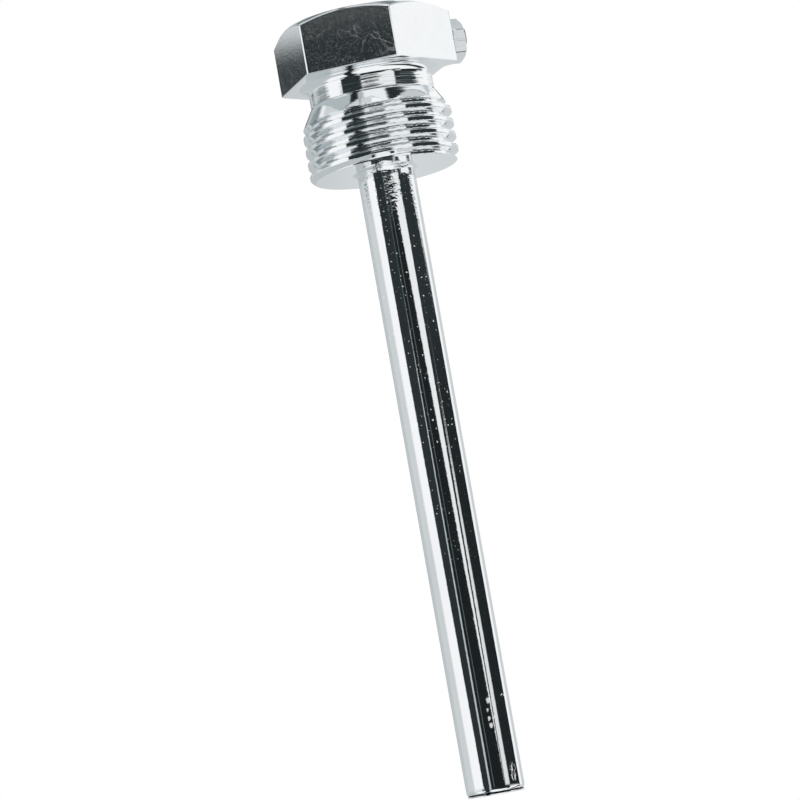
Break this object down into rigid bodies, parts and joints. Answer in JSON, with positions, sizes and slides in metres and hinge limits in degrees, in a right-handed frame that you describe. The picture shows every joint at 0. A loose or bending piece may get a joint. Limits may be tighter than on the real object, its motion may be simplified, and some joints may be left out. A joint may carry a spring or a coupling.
{
  "type": "thermowell",
  "caption": "Screw-in thermowell: hexagon head with a side clamp screw, parallel pipe thread and a slim brazed stem tube closed by an end plug.",
  "frame": {"origin": "on the well's axis, in the plane of the sealing face under the hexagon", "axes": "+Z along the well's axis towards the head and the mouth of the sensor bore, stem towards -Z; +X out along the clamp screw; +Y completes a right-handed frame"},
  "size_m": [0.0254, 0.0254, 0.1082],
  "materials": {
    "plated_head": "bright nickel plate over turned brass, polished",
    "plated_stem": "bright nickel plate over drawn tube, polished, finely pitted",
    "plated_braze": "plated braze metal, uneven, gloss",
    "plated_screw": "plated steel with fine drawing lines, gloss"
  },
  "bodies": {
    "pocket": {"body": "plated_head", "stem_tube": "plated_stem", "end_plug": "plated_stem", "braze_fillet": "plated_braze"},
    "screw": {"clamp_screw": "plated_screw"}
  },
  "joints": [
    {"name": "clamp_screw_travel", "type": "slide", "parent": "pocket", "child": "screw", "axis": [-1, 0, 0], "range_m": [0, 0.0025]}
  ]
}
